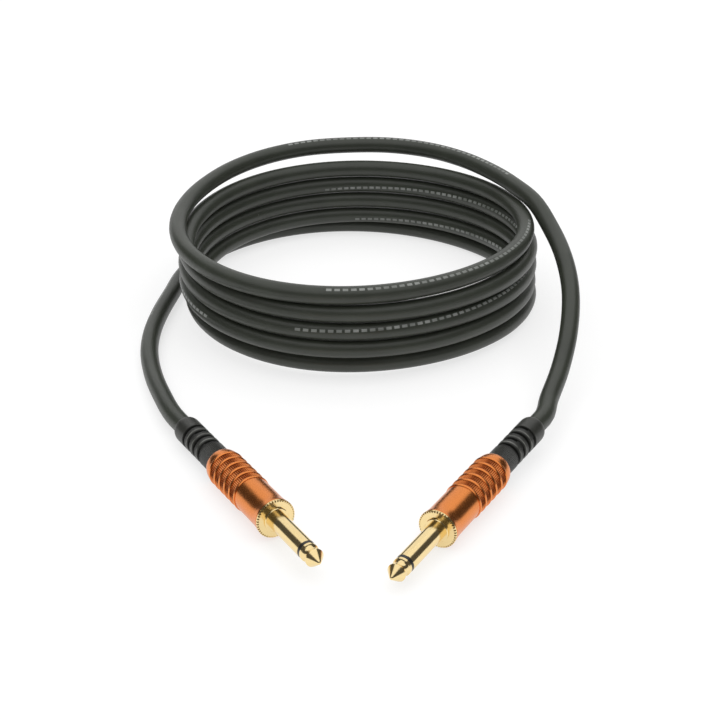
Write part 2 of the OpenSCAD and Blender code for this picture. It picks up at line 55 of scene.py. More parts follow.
# The joint between flange and shell on each plug's axis, the plug's turn from
# straight ahead and how far its tip is down (metres and degrees).
PLUGS = {
    "left": ((-0.02652, -0.016312, 0.007712), 29.6, -1.7),
    "right": ((0.025201, -0.020857, 0.006754), -30.9, 1.7),
}
# Stations along a plug's axis, from that joint towards the tip: where the core, the
# jacket and its straight stretch end, and where the flange is notched, the shell
# knurled and the boot ribbed and slotted
CORE_END = -0.0138
JACKET_END = -0.0158
STRAIGHT_END = -0.07742
NOTCHES = (0.2 * MM, 0.43 * MM)
KNURL = (-37 * MM, -17 * MM)
RIBS_END = -48 * MM
FIRST_SLOT = -0.0487
SLOT_STEP = 0.0041
# The radii over which notches and knurl are cut, within which they are painted dark as
# shade, and how many rings and ribs a boot has
NOTCH_RADIUS = 6.6 * MM
KNURL_RADIUS = 6.3 * MM
RINGS = 3
RIBS_ROUND = 56.0

# Points of the free stretch from the left plug to the coil
LEFT_ROUTE = (
    (-0.0725, 0.0705, 0.0046), (-0.0782, 0.09, 0.0037), (-0.0815, 0.108, 0.0035),
    (-0.0822, 0.124, 0.0035), (-0.0812, 0.139, 0.0035),
)
# Points of the free stretch from the coil to the right plug
RIGHT_ROUTE = (
    (0.013, 0.236, 0.0409), (0.03, 0.23, 0.041), (0.045, 0.218, 0.0412),
    (0.0565, 0.2035, 0.0411), (0.0655, 0.187, 0.041), (0.0725, 0.174, 0.0393),
    (0.0783, 0.157, 0.0342), (0.0815, 0.1385, 0.0302), (0.0823, 0.118, 0.0249),
    (0.0795, 0.096, 0.0178), (0.0743, 0.076, 0.0122), (0.0685, 0.058, 0.0098),
)
# The coil: its middle, its mean radius, the height of its first turn's centreline,
# where it starts to rise and how far it rises in each turn
COIL_CENTRE = (-0.0012, 0.1597)
COIL_RADIUS = 0.07
COIL_LOWEST = 0.0035
COIL_LIFT = 0.36
COIL_RISE = 0.0074
COIL_TURNS = 5.25
POINTS_PER_TURN = 24

# Where each row of printed dashes starts, as the distance along the jacket in
# metres, and the share of a turn from the underside at which it starts and ends
PRINT_ROWS = (
    (0.263, 0.6, 0.6), (0.553, 0.35, 0.35), (0.844, 0.32, 0.2), (1.127, 0.82, 0.69),
    (1.41, 0.7, 0.55), (1.71, 0.34, 0.2), (1.996, 0.1, 0.1), (2.276, 0.58, 0.56),
    (2.581, 0.48, 0.46),
)
PRINT_LENGTH = 0.117
DASH_SHARE = 0.66

# How bright the paper looks where it is seen through, the share of that in what is
# seen of it, and how bright the room is in mirrors
PAPER_GLOW = 1.25
GLOW_SHARE = 0.55
ROOM_IN_MIRRORS = 0.08


def linear(hex_colour):
    """An sRGB hex colour as linear red, green, blue and alpha."""
    parts = [int(hex_colour[i : i + 2], 16) / 255 for i in (0, 2, 4)]
    return (*[c / 12.92 if c <= 0.04045 else ((c + 0.055) / 1.055) ** 2.4
              for c in parts], 1.0)


def colour_property(name, description, hex_colour):
    return bpy.props.FloatVectorProperty(
        name=name, description=description, subtype="COLOR", size=4,
        min=0.0, max=1.0, default=linear(hex_colour))


def length_property(name, description, default):
    return bpy.props.FloatProperty(
        name=name, description=description, subtype="DISTANCE", unit="LENGTH",
        min=0.0, default=default, precision=5)


# ---- Settings ----


class CableSettings(bpy.types.PropertyGroup):
    """Sizes and colours of the cable itself."""

    diameter: length_property("Jacket diameter", "Diameter over the jacket", 0.007)
    bore: length_property("Jacket bore", "Bore of the jacket round the screen", 0.0044)
    core_diameter: length_property(
        "Core diameter", "Diameter over the braided screen", 0.004)
    ring_step: length_property(
        "Ring step", "Distance between the rings of the mesh", 0.0035)
    jacket_colour: colour_property("Jacket", "Colour of the PVC jacket", "31352c")
    mark_colour: colour_property("Length marks", "Colour of the printed dashes", "a9aca8")
    mark_height: length_property("Mark height", "Height of the printed dashes", 0.0011)
    mark_pitch: length_property("Mark pitch", "Spacing of the printed dashes", 0.003)


class PlugSettings(bpy.types.PropertyGroup):
    """Colours of the plugs."""

    gold: colour_property("Gold", "Colour of the gold plating", "f3daa2")
    shell: colour_property("Shell", "Colour of the anodised shell", "e48a49")
    boot: colour_property("Boot", "Colour of the moulded boot", "292a25")
    insulator: colour_property("Insulator", "Colour of the moulded insulator", "25231f")


class StageSettings(bpy.types.PropertyGroup):
    """Camera, floor and light."""

    camera_place: bpy.props.FloatVectorProperty(
        name="Camera", description="Where the camera stands", subtype="TRANSLATION",
        unit="LENGTH", size=3, default=(0.0005, -0.4447, 0.2911))
    camera_tilt: bpy.props.FloatProperty(
        name="Camera tilt", description="How far the camera looks down", subtype="ANGLE",
        default=math.radians(27.83))
    lens: bpy.props.FloatProperty(
        name="Lens", description="Focal length on a sensor 36 mm wide", unit="CAMERA",
        default=80.0)
    floor_colour: colour_property("Floor", "Colour of the floor", "e6e6e6")
    light_height: length_property("Softbox height", "Height of the overhead softbox", 1.0)
    light_size: length_property("Softbox size", "Side of the overhead softbox", 2.0)
    light_level: bpy.props.FloatProperty(
        name="Softbox level", description="Brightness of the softbox's face", min=0.0,
        default=1.0)
    room_level: bpy.props.FloatProperty(
        name="Room level", description="Brightness of the light from all round", min=0.0,
        default=0.5)


# ---- Mesh helpers ----


def ease(x):
    """Eased step from 0 at x = 0 to 1 at x = 1."""
    u = min(1.0, max(0.0, x))
    return u * u * (3 - 2 * u)


def coil_point(t):
    """Centreline of the coil, t turns from its start, rising clockwise from above. Its
    turns are uneven as a hand lays them: the first comes in from outside, the second
    is narrow and low in front, and the last swings out to the free stretch."""
    angle = math.pi - 2 * math.pi * t
    uneven = 0.001 * math.sin(2 * angle) + 0.001 * math.cos(3 * angle)
    outside = 0.008 * max(0.0, 1 - t / 0.55)
    low_front = ease((t - 0.5) / 0.25) - ease((t - 0.75) / 0.5)
    swing = 0.0065 * ease((t - COIL_TURNS + 0.2) / 0.2)
    slide = 0.003 * ease((t - COIL_TURNS + 1) / 0.5)
    hop = 0.0012 * ease((t - COIL_TURNS + 0.25) / 0.25)
    radius = COIL_RADIUS + uneven + outside - 0.0035 * low_front + swing
    height = (COIL_LOWEST + COIL_RISE * max(0.0, t - COIL_LIFT)
              - 0.0006 * low_front + hop)
    return Vector((COIL_CENTRE[0] + radius * math.cos(angle) - slide,
                   COIL_CENTRE[1] + radius * math.sin(angle), height))


def on_axis(side, station):
    """A point on a plug's axis."""
    joint, yaw, dip = PLUGS[side]
    turn, down = math.radians(yaw), math.radians(dip)
    return Vector(joint) + station * Vector((
        math.cos(down) * math.sin(turn), -math.cos(down) * math.cos(turn), -math.sin(down)))


def straight(side, end):
    """Points along a plug's axis, from inside the plug to behind its boot. The last
    two lie close together, so that the bend starts behind the boot's full travel."""
    before_last = STRAIGHT_END + 1 * MM
    stations = [end + (before_last - end) * i / 5 for i in range(6)] + [STRAIGHT_END]
    return [on_axis(side, station) for station in stations]


def cable_route(end):
    """Every point that the cable's centreline goes through, from plug to plug."""
    coil = [coil_point(i / POINTS_PER_TURN)
            for i in range(int(COIL_TURNS * POINTS_PER_TURN) + 1)]
    return (straight("left", end) + [Vector(p) for p in LEFT_ROUTE] + coil
            + [Vector(p) for p in RIGHT_ROUTE] + straight("right", end)[::-1])


def smooth_line(points, step):
    """A smooth line through the points, at about equal steps."""
    gaps = [(b - a).length for a, b in zip(points, points[1:])]
    slopes = [(points[1] - points[0]) / gaps[0]]
    for i in range(1, len(points) - 1):
        before, after = gaps[i - 1], gaps[i]
        slopes.append(((points[i] - points[i - 1]) / before * after
                       + (points[i + 1] - points[i]) / after * before) / (before + after))
    slopes.append((points[-1] - points[-2]) / gaps[-1])
    line = []
    for i, gap in enumerate(gaps):
        count = max(1, round(gap / step))
        for k in range(count):
            u = k / count
            line.append(points[i] * (2 * u**3 - 3 * u**2 + 1)
                        + slopes[i] * gap * (u**3 - 2 * u**2 + u)
                        + points[i + 1] * (3 * u**2 - 2 * u**3)
                        + slopes[i + 1] * gap * (u**3 - u**2))
    return line + [points[-1]]


def tube(name, line, radius, sides, bore=None):
    """A round tube along a line, open to its bore, or with flat ends where it has none.
    Its UV map holds the distance along the tube in metres, and the share of a turn
    from the underside."""
    wanted = [(radius, sides, False)] + ([(bore, sides // 2, True)] if bore else [])
    along = [0.0]
    for a, b in zip(line, line[1:]):
        along.append(along[-1] + (b - a).length)
    verts, faces, spots = [], [], []
    rings = len(line)
    for size, count, inward in wanted:
        base = len(verts)
        for i, centre in enumerate(line):
            ahead = (line[min(i + 1, rings - 1)] - line[max(i - 1, 0)]).normalized()
            side = ahead.cross(Vector((0, 0, 1))).normalized()
            up = side.cross(ahead)
            for k in range(count):
                a = 2 * math.pi * k / count
                verts.append(centre + size * (math.sin(a) * side - math.cos(a) * up))
        for i in range(rings - 1):
            for k in range(count):
                a, b = base + i * count + k, base + i * count + (k + 1) % count
                quad = (a, b, b + count, a + count)
                place = ((along[i], k / count), (along[i], (k + 1) / count),
                         (along[i + 1], (k + 1) / count), (along[i + 1], k / count))
                faces.append(quad[::-1] if inward else quad)
                spots.append(place[::-1] if inward else place)
    for end, i in ((0, 0), (1, rings - 1)):
        ring = [i * sides + k for k in range(sides)]
        place = [(along[i], k / sides) for k in range(sides)]
        if bore:
            half = sides // 2
            inner = [rings * sides + i * half + k for k in range(half)]
            for k in range(half):
                face = [ring[2 * k], inner[k], inner[(k + 1) % half],
                        ring[(2 * k + 2) % sides], ring[2 * k + 1]]
                faces.append(face[::-1] if end else face)
                spots.append([(along[i], k / half)] * 5)
        else:
            faces.append(ring if end else ring[::-1])
            spots.append(place if end else place[::-1])
    mesh = bpy.data.meshes.new(name)
    mesh.from_pydata(verts, [], faces)
    layer = mesh.uv_layers.new(name="along_and_round")
    layer.data.foreach_set("uv", [c for place in spots for spot in place for c in spot])
    mesh.polygons.foreach_set("use_smooth", [len(face) == 4 for face in faces])
    mesh.validate()
    piece = bpy.data.objects.new(name, mesh)
    bpy.context.scene.collection.objects.link(piece)
    return piece


def lay_print(piece, circumference):
    """A second UV map in metres: the distance from the start of the nearest row of
    print, and the distance round the jacket from that row's middle."""
    mesh = piece.data
    place = mesh.uv_layers["along_and_round"].data
    spots = []
    for face in mesh.polygons:
        corners = [place[i].uv for i in face.loop_indices]
        middle = sum((c for c in corners), Vector((0, 0))) / len(corners)
        start, first, final = min(
            PRINT_ROWS, key=lambda row: abs(row[0] - PRINT_LENGTH / 2 - middle[0]))
        for along, turn in corners:
            share = min(1.0, max(0.0, (start - along) / PRINT_LENGTH))
            line = first + (final - first) * share
            line += round(middle[1] - line)
            spots += [start - along, (turn - line) * circumference]
    mesh.uv_layers.new(name="print").data.foreach_set("uv", spots)


# ---- Material helpers ----


def add_node(tree, kind, inputs=None, **settings):
    """Adds a node. inputs maps a socket's name or number to a value, or to the
    socket that feeds it."""
    node = tree.nodes.new(kind)
    for name, value in settings.items():
        setattr(node, name, value)
    for name, value in (inputs or {}).items():
        if isinstance(value, bpy.types.NodeSocket):
            tree.links.new(value, node.inputs[name])
        else:
            node.inputs[name].default_value = value
    return node


def mixed(tree, share, first, second):
    """The first colour turned into the second one by a share from 0 to 1."""
    return add_node(tree, "ShaderNodeMix", {0: share, 6: first, 7: second},
                    data_type="RGBA").outputs[2]


def calc(tree, operation, *values):
    """The output of a Math node."""
    return add_node(tree, "ShaderNodeMath", dict(enumerate(values)),
                    operation=operation).outputs[0]


def new_material(name):
    """An empty node material."""
    material = bpy.data.materials.new(name)
    material.use_nodes = True
    material.node_tree.nodes.clear()
    return material


def finish_material(material, surface):
    """Links a surface shader to the material's output."""
    add_node(material.node_tree, "ShaderNodeOutputMaterial", {"Surface": surface})
    return material


def plug_place(tree, side):
    """The point being shaded, with X along a plug's axis towards the tip."""
    joint, yaw, dip = PLUGS[side]
    here = add_node(tree, "ShaderNodeTexCoord")
    return add_node(tree, "ShaderNodeMapping", {
        "Vector": here.outputs["Object"], "Location": joint,
        "Rotation": (0, math.radians(dip), math.radians(yaw - 90))},
        vector_type="TEXTURE").outputs["Vector"]


def dress(node_names, material):
    """Gives the material to CAD nodes."""
    for name in node_names:
        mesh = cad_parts[name].data
        mesh.materials.clear()
        mesh.materials.append(material)


def between(tree, value, low, high):
    """1 where a value lies between two limits, otherwise 0."""
    above = calc(tree, "GREATER_THAN", value, low)
    return calc(tree, "MULTIPLY", above, calc(tree, "LESS_THAN", value, high))


def round_axis(tree, place):
    """The station along a plug's axis, the distance from it and the angle round it."""
    part = add_node(tree, "ShaderNodeSeparateXYZ", {"Vector": place}).outputs
    flat = add_node(tree, "ShaderNodeCombineXYZ", {"Y": part["Y"], "Z": part["Z"]})
    away = add_node(tree, "ShaderNodeVectorMath", {0: flat.outputs["Vector"]},
                    operation="LENGTH").outputs["Value"]
    return part["X"], away, calc(tree, "ARCTAN2", part["Y"], part["Z"])


def turned_metal(name, side, colour, roughness, mark_pitch, mark_depth, shaded_cuts=None):
    """A metal turned on a lathe: fine rings round the axis, and a slightly uneven polish.
    The last argument gives the stations and the radius within which the cuts are painted
    dark as shade and made rougher, and the colour of that painted shade."""
    material = new_material(name)
    tree = material.node_tree
    place = plug_place(tree, side)
    smear = add_node(tree, "ShaderNodeTexNoise", {
        "Vector": place, "Scale": 420.0, "Detail": 4.0, "Roughness": 0.6})
    polish = add_node(tree, "ShaderNodeMapRange", {
        "Value": smear.outputs["Fac"], "From Min": 0.3, "From Max": 0.7,
        "To Min": roughness * 0.93, "To Max": roughness * 1.07})
    marks = add_node(tree, "ShaderNodeTexWave", {
        "Vector": place, "Scale": 2 * math.pi / 20 / mark_pitch, "Distortion": 1.2,
        "Detail": 2.0, "Detail Scale": 1.0},
        wave_type="BANDS", bands_direction="X", wave_profile="SIN")
    bump = add_node(tree, "ShaderNodeBump", {
        "Strength": 0.25, "Distance": mark_depth, "Height": marks.outputs["Fac"]})
    rough = polish.outputs["Result"]
    if shaded_cuts:
        rear, front, radius, dark = shaded_cuts
        station, away, _ = round_axis(tree, place)
        cut = calc(tree, "MULTIPLY", between(tree, station, rear, front),
                   calc(tree, "LESS_THAN", away, radius))
        # Painted shade in the cuts: their colour goes over to the dark colour given
        colour = mixed(tree, cut, colour, dark)
        rough = calc(tree, "MULTIPLY_ADD", cut, 0.3, rough)
    surface = add_node(tree, "ShaderNodeBsdfPrincipled", {
        "Base Color": colour, "Metallic": 1.0, "Roughness": rough,
        "Normal": bump.outputs["Normal"]})
    return finish_material(material, surface.outputs["BSDF"])


def moulded_plastic(name, colour, roughness, ior, grain, grain_depth, variation=0.12,
                    relief=None, shade=None, painted_glint=None):
    """A moulded or extruded plastic: a fine matt grain from the tool, and colour that is
    not quite even. relief makes the height of a relief in the material's tree, in
    millimetres, shade the share by which the surface is painted darker as shade and made
    duller, and the last one the share that gets a painted highlight, lighter grey and
    smoother."""
    material = new_material(name)
    tree = material.node_tree
    here = add_node(tree, "ShaderNodeTexCoord").outputs["Object"]
    cloud = add_node(tree, "ShaderNodeTexNoise", {
        "Vector": here, "Scale": 160.0, "Detail": 3.0, "Roughness": 0.5})
    darker = tuple(c * (1 - variation) for c in colour[:3]) + (1.0,)
    lighter = tuple(min(1.0, c * (1 + variation)) for c in colour[:3]) + (1.0,)
    tint = mixed(tree, cloud.outputs["Fac"], darker, lighter)
    fine = add_node(tree, "ShaderNodeTexNoise", {
        "Vector": here, "Scale": 1 / grain, "Detail": 2.0, "Roughness": 0.6})
    gloss = add_node(tree, "ShaderNodeMapRange", {
        "Value": fine.outputs["Fac"], "From Min": 0.3, "From Max": 0.7,
        "To Min": roughness * 0.88, "To Max": roughness * 1.12})
    bump = add_node(tree, "ShaderNodeBump", {
        "Strength": 0.5, "Distance": grain_depth, "Height": fine.outputs["Fac"]})
    if relief:
        bump = add_node(tree, "ShaderNodeBump", {
            "Strength": 1.0, "Distance": 1 * MM, "Height": relief(tree),
            "Normal": bump.outputs["Normal"]})
    rough = gloss.outputs["Result"]
    if shade:
        shade_share = shade(tree)
        # Painted shade: the colour falls to half where the share is 1
        tint = mixed(tree, shade_share, tint, tuple(c * 0.5 for c in colour[:3]) + (1.0,))
        rough = calc(tree, "MULTIPLY_ADD", shade_share, 0.2, rough)
    if painted_glint:
        glint_share = painted_glint(tree)
        # Painted highlight: a lighter grey, and smoother, where the glint line falls
        tint = mixed(tree, glint_share, tint, linear("7e7f7a"))
        rough = calc(tree, "MULTIPLY_ADD", glint_share, -0.12, rough)
    surface = add_node(tree, "ShaderNodeBsdfPrincipled", {
        "Base Color": tint, "Roughness": rough, "IOR": ior,
        "Normal": bump.outputs["Normal"]})
    return finish_material(material, surface.outputs["BSDF"])


# ---- Operators ----


class CABLE_OT_stage(bpy.types.Operator):
    """Make the camera, floor, backdrop and lights"""

    bl_idname = "cable.make_stage"
    bl_label = "Stage"

    def execute(self, context):
        settings = context.scene.cable_stage
        data = bpy.data.cameras.new("camera")
        data.lens, data.sensor_width, data.sensor_fit = settings.lens, 36.0, "HORIZONTAL"
        data.clip_start, data.clip_end = 0.01, 20.0
        camera = bpy.data.objects.new("camera", data)
        camera.location = settings.camera_place
        camera.rotation_euler = (math.pi / 2 - settings.camera_tilt, 0, 0)
        context.scene.collection.objects.link(camera)
        context.scene.camera = camera

        paper = self.paper(settings.floor_colour)
        self.sheet("floor", 3.0, 3.0, (0, 0.3, 0), (0, 0, 0), paper)
        self.sheet("backdrop", 1.7, 1.1, (0, 1.15, 0.55), (math.pi / 2, 0, 0), paper)

        size = settings.light_size
        lamp = bpy.data.lights.new("softbox", "AREA")
        lamp.shape, lamp.size = "SQUARE", size
        # The power that gives the lamp's face that brightness
        lamp.energy = settings.light_level * math.pi * size * size
        softbox = bpy.data.objects.new("softbox", lamp)
        softbox.location = (0, 0.05, settings.light_height)
        context.scene.collection.objects.link(softbox)
        self.room(context.scene, settings.room_level)
        context.scene.view_settings.view_transform = "Standard"
        return {"FINISHED"}

    def sheet(self, name, width, depth, place, turn, material):
        """A flat sheet of the stage, made as a grid."""
        steps = 8
        row = steps + 1
        verts = [(width * (i / steps - 0.5), depth * (k / steps - 0.5), 0)
                 for k in range(row) for i in range(row)]
        faces = [(a, a + 1, a + row + 1, a + row)
                 for k in range(steps) for a in range(k * row, k * row + steps)]
        mesh = bpy.data.meshes.new(name)
        mesh.from_pydata(verts, [], faces)
        mesh.materials.append(material)
        piece = bpy.data.objects.new(name, mesh)
        piece.location, piece.rotation_euler = place, turn
        bpy.context.scene.collection.objects.link(piece)

    def paper(self, colour):
        """Matt white studio paper. The camera and mirrors see it lit through, so that
        it goes to white away from the shadow."""
        material = new_material("studio_paper")
        tree = material.node_tree
        fibre = add_node(tree, "ShaderNodeTexNoise", {"Scale": 300.0, "Detail": 2.0})
        bump = add_node(tree, "ShaderNodeBump", {
            "Strength": 0.05, "Distance": 0.0002, "Height": fibre.outputs["Fac"]})
        matt = add_node(tree, "ShaderNodeBsdfDiffuse", {
            "Color": colour, "Normal": bump.outputs["Normal"]})
        path = add_node(tree, "ShaderNodeLightPath").outputs
        seen = calc(tree, "MAXIMUM", path["Is Camera Ray"], path["Is Glossy Ray"])
        seen = calc(tree, "MAXIMUM", seen, path["Is Transmission Ray"])
        glow = add_node(tree, "ShaderNodeEmission", {"Strength": PAPER_GLOW})
        both = add_node(tree, "ShaderNodeMixShader", {
            0: calc(tree, "MULTIPLY", seen, GLOW_SHARE), 1: matt.outputs["BSDF"],
            2: glow.outputs["Emission"]})
        return finish_material(material, both.outputs["Shader"])

    def room(self, scene, level):
        """A dim studio room with white behind the object, wherever the camera stands."""
        world = bpy.data.worlds.new("room")
        world.use_nodes = True
        tree = world.node_tree
        tree.nodes.clear()
        path = add_node(tree, "ShaderNodeLightPath").outputs
        seen = calc(tree, "MAXIMUM", path["Is Camera Ray"], path["Is Transmission Ray"])
        soft = calc(tree, "ADD", level, calc(
            tree, "MULTIPLY", path["Is Glossy Ray"], ROOM_IN_MIRRORS - level))
        back = add_node(tree, "ShaderNodeBackground", {
            "Color": (1.0, 1.0, 1.0, 1.0), "Strength": calc(tree, "MAXIMUM", seen, soft)})
        add_node(tree, "ShaderNodeOutputWorld", {"Surface": back.outputs["Background"]})
        scene.world = world


class CABLE_OT_jacket(bpy.types.Operator):
    """Make the jacket along the cable's whole route"""

    bl_idname = "cable.make_jacket"
    bl_label = "Jacket"

    def execute(self, context):
        settings = context.scene.cable_sizes
        line = smooth_line(cable_route(JACKET_END), settings.ring_step)
        jacket = tube("cable_jacket", line, settings.diameter / 2, 24, settings.bore / 2)
        lay_print(jacket, math.pi * settings.diameter)
        jacket.data.materials.append(self.extruded_pvc(settings))
        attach(jacket, ROOT)
        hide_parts("left_tail_jacket", "coil_jacket", "right_tail_jacket")
        length = sum((b - a).length for a, b in zip(line, line[1:]))
        return {"FINISHED"}

    def extruded_pvc(self, settings):
        """Plasticised PVC, extruded: a satin dark grey with a fine grain and a faint
        unevenness from the braid below. Rows of plain light grey dashes are printed
        along it with ink."""
        material = new_material("extruded_pvc_jacket")
        tree = material.node_tree
        here = add_node(tree, "ShaderNodeTexCoord")
        cloud = add_node(tree, "ShaderNodeTexNoise", {
            "Vector": here.outputs["Object"], "Scale": 90.0, "Detail": 4.0})
        tint = add_node(tree, "ShaderNodeMapRange", {
            "Value": cloud.outputs["Fac"], "From Min": 0.3, "From Max": 0.7,
            "To Min": 0.88, "To Max": 1.12})
        shade = add_node(tree, "ShaderNodeVectorMath", {
            0: settings.jacket_colour[:3], "Scale": tint.outputs["Result"]},
            operation="SCALE")
        fine = add_node(tree, "ShaderNodeTexNoise", {
            "Vector": here.outputs["Object"], "Scale": 2500.0, "Detail": 2.0})
        gloss = add_node(tree, "ShaderNodeMapRange", {
            "Value": fine.outputs["Fac"], "From Min": 0.3, "From Max": 0.7,
            "To Min": 0.36, "To Max": 0.46})
        bump = add_node(tree, "ShaderNodeBump", {
            "Strength": 0.35, "Distance": 0.00004, "Height": fine.outputs["Fac"]})
        colour = mixed(tree, self.ink(tree, settings, here), shade.outputs["Vector"],
                       settings.mark_colour)
        surface = add_node(tree, "ShaderNodeBsdfPrincipled", {
            "Base Color": colour, "Roughness": gloss.outputs["Result"],
            "IOR": 1.53, "Normal": bump.outputs["Normal"]})
        return finish_material(material, surface.outputs["BSDF"])

    def ink(self, tree, settings, here):
        """How strong the ink is: plain even dashes in rows, slightly rubbed."""
        spot = add_node(tree, "ShaderNodeUVMap", uv_map="print")
        spot = add_node(tree, "ShaderNodeSeparateXYZ", {"Vector": spot.outputs["UV"]})
        along, across = spot.outputs["X"], spot.outputs["Y"]
        dash = calc(tree, "LESS_THAN", calc(
            tree, "FRACT", calc(tree, "DIVIDE", along, settings.mark_pitch)), DASH_SHARE)
        row = between(tree, across, -settings.mark_height / 2, settings.mark_height / 2)
        rub = add_node(tree, "ShaderNodeTexNoise", {
            "Vector": here.outputs["Object"], "Scale": 120.0, "Detail": 1.0})
        left = add_node(tree, "ShaderNodeMapRange", {
            "Value": rub.outputs["Fac"], "From Min": 0.35, "From Max": 0.65,
            "To Min": 0.3, "To Max": 0.6})
        ink = between(tree, along, 0.0, PRINT_LENGTH)
        for share in (dash, row, left.outputs["Result"]):
            ink = calc(tree, "MULTIPLY", ink, share)
        return ink


class CABLE_OT_core(bpy.types.Operator):
    """Make the braided core inside the jacket"""

    bl_idname = "cable.make_core"
    bl_label = "Core"

    def execute(self, context):
        settings = context.scene.cable_sizes
        line = smooth_line(cable_route(CORE_END), 2 * settings.ring_step)
        core = tube("cable_core", line, settings.core_diameter / 2, 12)
        core.data.materials.append(self.copper_braid())
        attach(core, ROOT)
        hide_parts("screened_core")
        return {"FINISHED"}

    def copper_braid(self):
        """Bare copper wires of 0.1 mm, woven in two crossing directions."""
        material = new_material("woven_copper_braid")
        tree = material.node_tree
        here = add_node(tree, "ShaderNodeTexCoord")
        stretched = add_node(tree, "ShaderNodeMapping", {
            "Vector": here.outputs["UV"], "Scale": (80.0, 8 / 20, 1.0)})
        weave = add_node(tree, "ShaderNodeTexChecker", {
            "Vector": stretched.outputs["Vector"], "Scale": 20.0,
            "Color1": linear("b87548"), "Color2": linear("8f5430")})
        bump = add_node(tree, "ShaderNodeBump", {
            "Strength": 0.6, "Distance": 0.0001, "Height": weave.outputs["Fac"]})
        surface = add_node(tree, "ShaderNodeBsdfPrincipled", {
            "Base Color": weave.outputs["Color"], "Metallic": 1.0, "Roughness": 0.38,
            "Normal": bump.outputs["Normal"]})
        return finish_material(material, surface.outputs["BSDF"])


class CABLE_OT_contacts(bpy.types.Operator):
    """Plate the tip contacts and sleeves with gold"""

    bl_idname = "cable.plate_contacts"
    bl_label = "Gold contacts"

    def execute(self, context):
        colour = tuple(context.scene.cable_plugs.gold)
        for side in SIDES:
            # Brass turned on a lathe and plated with gold: mirror bright, pale yellow.
            # The notches round the flange are painted dark brown as shade, and made
            # rougher.
            gold = turned_metal(f"gold_plated_brass_{side}", side, colour, 0.17,
                                0.3 * MM, 0.003 * MM,
                                (*NOTCHES, NOTCH_RADIUS, linear("5a4620")))
            dress([f"{side}_tip_contact", f"{side}_sleeve"], gold)
        return {"FINISHED"}


class CABLE_OT_insulators(bpy.types.Operator):
    """Colour the insulator rings and the rear washers"""

    bl_idname = "cable.colour_insulators"
    bl_label = "Insulators"

    def execute(self, context):
        colour = tuple(context.scene.cable_plugs.insulator)
        # Acetal, moulded: black with a low satin gloss.
        acetal = moulded_plastic("moulded_acetal", colour, 0.32, 1.48, 0.2 * MM, 0.01 * MM)
        # Vulcanised fibre, stamped from sheet: dull red-brown with a paper grain.
        fibre = moulded_plastic("stamped_vulcanised_fibre", linear("6e3a26"), 0.7, 1.5,
                                0.3 * MM, 0.05 * MM, 0.3)
        dress([f"{side}_tip_insulator" for side in SIDES], acetal)
        dress([f"{side}_rear_washer" for side in SIDES], fibre)
        return {"FINISHED"}


class CABLE_OT_wiring(bpy.types.Operator):
    """Finish the lugs, wires, solder and liners inside the plugs"""

    bl_idname = "cable.finish_wiring"
    bl_label = "Lugs and wiring"

    def execute(self, context):
        # Polyethylene, extruded on the wire: milky white and waxy.
        wire = moulded_plastic("extruded_polyethylene", linear("e4e1d6"), 0.38, 1.51,
                               0.4 * MM, 0.01 * MM, 0.04)
        # Polyester film, rolled to a tube: clear grey-white with a high gloss.
        film = moulded_plastic("rolled_polyester_film", linear("cfd3d3"), 0.15, 1.58,
                               1.0 * MM, 0.01 * MM, 0.03)
        for side in SIDES:
            # Brass sheet, stamped and tinned: soft grey-white sheen with press lines.
            tinned = turned_metal(f"tinned_brass_{side}", side, linear("c9c8c2"), 0.3,
                                  0.5 * MM, 0.02 * MM)
            # Tin solder, run and set: bright, smooth and slightly lumpy.
            solder = turned_metal(f"set_solder_{side}", side, linear("d2d4d6"), 0.2,
                                  1.2 * MM, 0.08 * MM)
            # Bare copper wires, twisted: each wire 0.15 mm thick.
            copper = turned_metal(f"twisted_copper_{side}", side, linear("bd7448"), 0.28,
                                  0.3 * MM, 0.1 * MM)
            dress([f"{side}_tip_lug", f"{side}_ground_lug"], tinned)
            dress([f"{side}_solder"], solder)
            dress([f"{side}_wire_strands", f"{side}_screen_pigtail"], copper)
            dress([f"{side}_wire_insulation"], wire)
            dress([f"{side}_liner"], film)
        return {"FINISHED"}


class CABLE_OT_shells(bpy.types.Operator):
    """Anodise the knurled shells"""

    bl_idname = "cable.anodise_shells"
    bl_label = "Shells"

    def execute(self, context):
        colour = tuple(context.scene.cable_plugs.shell)
        for side in SIDES:
            # Aluminium, turned, polished and anodised copper orange: a clear metal gloss
            # with faint rings from the lathe, and painted shade making the bottom of the
            # knurl darker.
            anodised = turned_metal(f"anodised_aluminium_{side}", side, colour, 0.27,
                                    0.35 * MM, 0.004 * MM,
                                    (*KNURL, KNURL_RADIUS, linear("b45a24")))
            dress([f"{side}_shell"], anodised)
        return {"FINISHED"}


